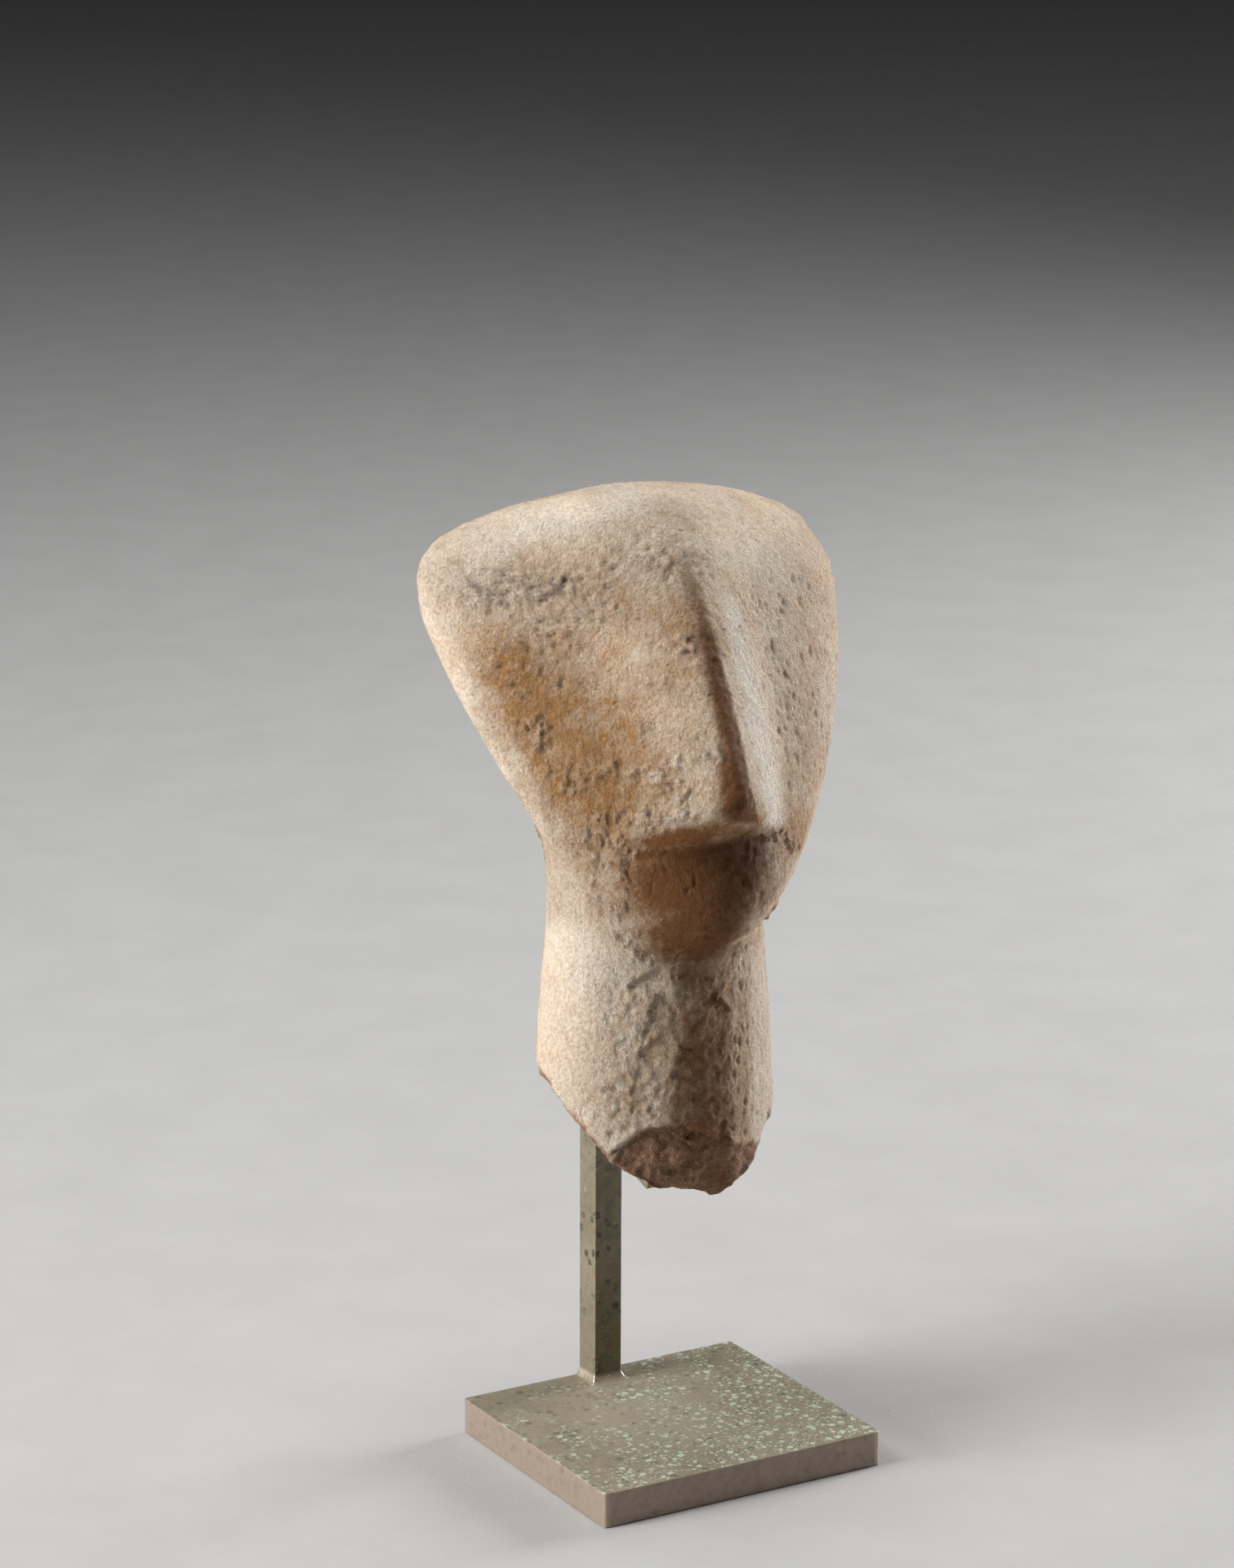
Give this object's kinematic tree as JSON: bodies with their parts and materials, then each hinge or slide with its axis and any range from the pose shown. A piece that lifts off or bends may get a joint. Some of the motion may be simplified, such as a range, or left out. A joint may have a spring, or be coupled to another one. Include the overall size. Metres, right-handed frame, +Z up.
{
  "type": "marble idol head on a metal stand",
  "caption": "Worn marble idol head with a flat crown, a ridge nose and a broken neck, resting on a bronze-coloured post with a sloping arm and a rectangular foot plate.",
  "frame": {"origin": "centre of the foot plate's underside", "axes": "+Z up; the face looks along -Y; +X to the right of a viewer who faces it"},
  "size_m": [0.0699, 0.0564, 0.1521],
  "materials": {
    "marble": "weathered, granular, earth-stained",
    "bronze_patina": "satin, brown patina with pale green speckles"
  },
  "bodies": {
    "root": {"marble_head": "marble", "base_plate": "bronze_patina", "post": "bronze_patina", "support_arm": "bronze_patina"}
  },
  "joints": []
}
